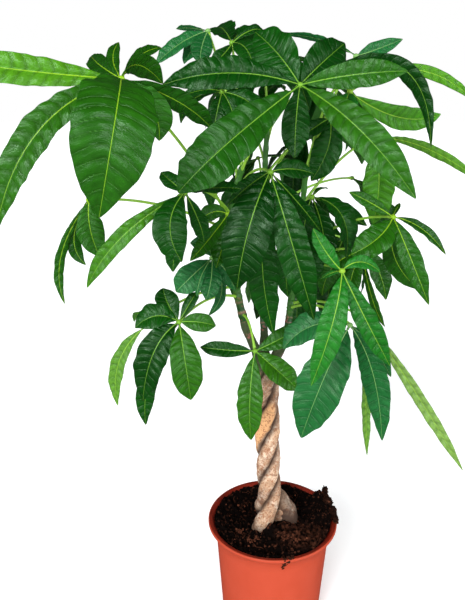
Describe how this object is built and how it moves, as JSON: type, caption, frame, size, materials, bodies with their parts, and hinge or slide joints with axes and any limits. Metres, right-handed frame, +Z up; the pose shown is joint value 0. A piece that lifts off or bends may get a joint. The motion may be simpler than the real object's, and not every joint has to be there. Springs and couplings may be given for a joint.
{
  "type": "potted money tree",
  "caption": "House plant with palmate leaves on trunks twisted together, standing in soil in a thin plastic pot.",
  "frame": {"origin": "centre of the pot's flat underside", "axes": "+Z up along the pot, -Y towards the viewer of the picture, +X to the viewer's right"},
  "size_m": [0.5274, 0.5868, 0.7668],
  "materials": {
    "pot_plastic": "thin moulded polypropylene, orange, satin",
    "peat": "moist dark peat with brown fibres",
    "bark": "rough pale bark with peeling patches",
    "green_stem": "smooth green stem, satin",
    "leaf_dark": "glossy dark green leaf",
    "leaf_mid": "glossy mid green leaf",
    "leaf_bright": "glossy bright green leaf",
    "leaf_teal": "glossy bluish green leaf",
    "leaf_back": "glossy green leaf"
  },
  "bodies": {
    "root": {"leaf_back_1": "leaf_back", "leaf_back_10": "leaf_back", "leaf_back_11": "leaf_back", "leaf_back_12": "leaf_back", "leaf_back_2": "leaf_back", "leaf_back_3": "leaf_back", "leaf_back_4": "leaf_back", "leaf_back_5": "leaf_back", "leaf_back_6": "leaf_back", "leaf_back_7": "leaf_back", "leaf_back_8": "leaf_back", "leaf_back_9": "leaf_back", "leaf_centre": "leaf_dark", "leaf_inner_centre": "leaf_dark", "leaf_inner_left": "leaf_teal", "leaf_inner_left_high": "leaf_mid", "leaf_inner_low_right": "leaf_dark", "leaf_inner_right": "leaf_dark", "leaf_left_fan": "leaf_dark", "leaf_left_hanging": "leaf_mid", "leaf_low_front": "leaf_dark", "leaf_low_left": "leaf_dark", "leaf_low_left_light": "leaf_bright", "leaf_low_right": "leaf_teal", "leaf_low_right_long": "leaf_bright", "leaf_near_left": "leaf_mid", "leaf_right_bright": "leaf_bright", "leaf_right_inner_low": "leaf_mid", "leaf_right_middle": "leaf_bright", "leaf_right_star": "leaf_mid", "leaf_right_upper": "leaf_bright", "leaf_top_centre": "leaf_dark", "leaf_top_front": "leaf_dark", "leaf_top_left": "leaf_teal", "leaf_top_right": "leaf_teal", "leaf_upper_left_inner": "leaf_dark", "pot": "pot_plastic", "potting_mix": "peat", "shoot_back": "green_stem", "shoot_left": "green_stem", "shoot_right": "green_stem", "trunk_1": "bark", "trunk_2": "bark", "trunk_3": "bark"}
  },
  "joints": []
}
